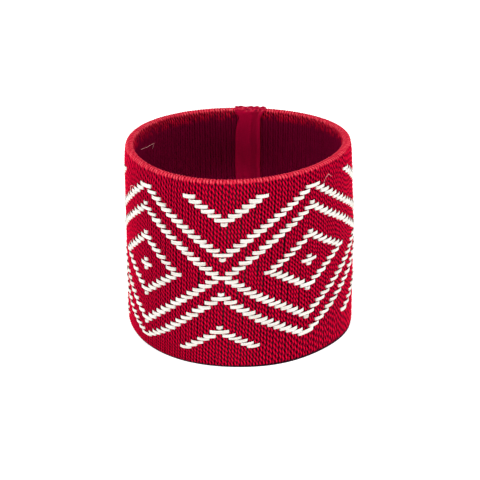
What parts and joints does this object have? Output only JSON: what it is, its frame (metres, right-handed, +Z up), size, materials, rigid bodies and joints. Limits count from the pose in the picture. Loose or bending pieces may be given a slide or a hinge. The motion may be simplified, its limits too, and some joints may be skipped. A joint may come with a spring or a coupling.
{
  "type": "woven cuff bracelet",
  "caption": "Rigid cylindrical cuff bracelet: pale straws woven through red doubled cord wound on a stiff hoop, in a diamond and chevron pattern, with a ribbon-bound seam.",
  "frame": {"origin": "centre of the flat bottom edge, on the cuff's axis", "axes": "+Z up along the cuff's axis, the front faces -Y, the ribbon-bound seam is at +Y"},
  "size_m": [0.068, 0.068, 0.0583],
  "materials": {
    "cord": "twisted two-ply cotton cord, slight sheen",
    "straw": "flat pale plant straw, satin, faint lengthwise lines",
    "ribbon": "woven ribbon, satin sheen",
    "core": "matt black strip"
  },
  "bodies": {
    "root": {"core_band": "core", "wrap_cord": "cord", "weft_straw_01": "straw", "weft_straw_02": "straw", "weft_straw_03": "straw", "weft_straw_04": "straw", "weft_straw_05": "straw", "weft_straw_06": "straw", "weft_straw_07": "straw", "weft_straw_08": "straw", "weft_straw_09": "straw", "weft_straw_10": "straw", "weft_straw_11": "straw", "weft_straw_12": "straw", "weft_straw_13": "straw", "weft_straw_14": "straw", "weft_straw_15": "straw", "weft_straw_16": "straw", "weft_straw_17": "straw", "weft_straw_18": "straw", "weft_straw_19": "straw", "weft_straw_20": "straw", "weft_straw_21": "straw", "weft_straw_22": "straw", "weft_straw_23": "straw", "weft_straw_24": "straw", "weft_straw_25": "straw", "weft_straw_26": "straw", "weft_straw_27": "straw", "weft_straw_28": "straw", "weft_straw_29": "straw", "weft_straw_30": "straw", "weft_straw_31": "straw", "weft_straw_32": "straw", "weft_straw_33": "straw", "weft_straw_34": "straw", "weft_straw_35": "straw", "weft_straw_36": "straw", "weft_straw_37": "straw", "seam_ribbon": "ribbon"}
  },
  "joints": []
}
